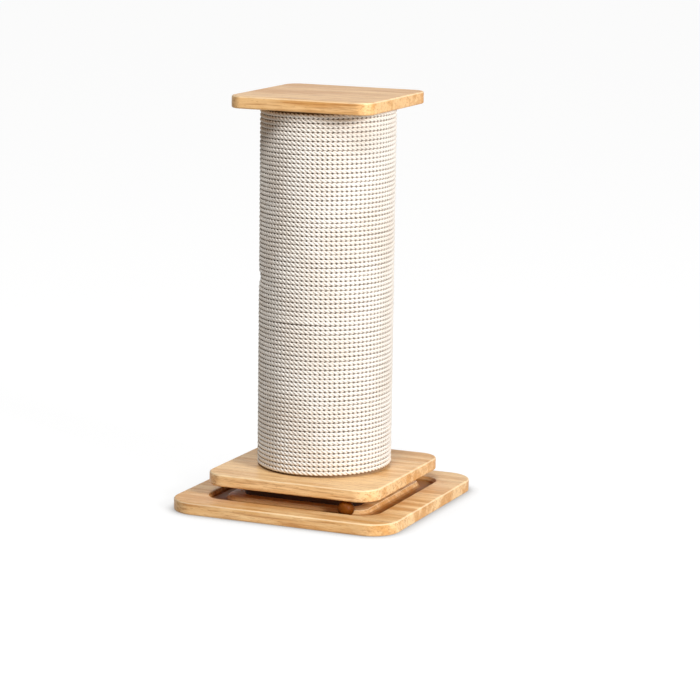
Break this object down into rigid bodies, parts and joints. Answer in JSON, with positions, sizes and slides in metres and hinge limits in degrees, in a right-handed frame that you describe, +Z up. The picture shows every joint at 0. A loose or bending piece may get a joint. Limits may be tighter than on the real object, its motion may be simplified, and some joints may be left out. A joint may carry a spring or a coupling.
{
  "type": "cat scratching post",
  "caption": "Freestanding rope-wound scratching post on a square wooden base with a routed ball track under a raised cover, and a square wooden perch on top.",
  "frame": {"origin": "centre of the base's underside, on the floor", "axes": "+Z up along the post, -Y towards the picture's front face, +X to the right"},
  "size_m": [0.35, 0.35, 0.6],
  "materials": {
    "base_wood": "clear satin lacquer on solid rubberwood",
    "spacer_wood": "plain solid rubberwood",
    "cover_wood": "clear satin lacquer on solid rubberwood",
    "top_wood": "clear satin lacquer on solid rubberwood",
    "ball_wood": "plain turned wood",
    "paperboard": "spiral-wound grey-brown paperboard",
    "plug_wood": "plain plywood",
    "steel": "zinc plated",
    "insert_steel": "zinc plated",
    "rope": "off-white three-strand cotton rope"
  },
  "bodies": {
    "post": {"base_plate": "base_wood", "spacer_plate": "spacer_wood", "cover_plate": "cover_wood", "top_plate": "top_wood", "post_tube": "paperboard", "bottom_plug": "plug_wood", "top_plug": "plug_wood", "base_bolts": "steel", "bolt_washers": "steel", "insert_nuts": "insert_steel", "top_screws": "steel", "rope_field": "rope", "rope_end_turns": "rope"},
    "ball": {"track_ball": "ball_wood"}
  },
  "joints": [
    {"name": "ball_roll", "type": "slide", "parent": "post", "child": "ball", "axis": [1, 0, 0], "range_m": [-0.19, 0.013]}
  ]
}
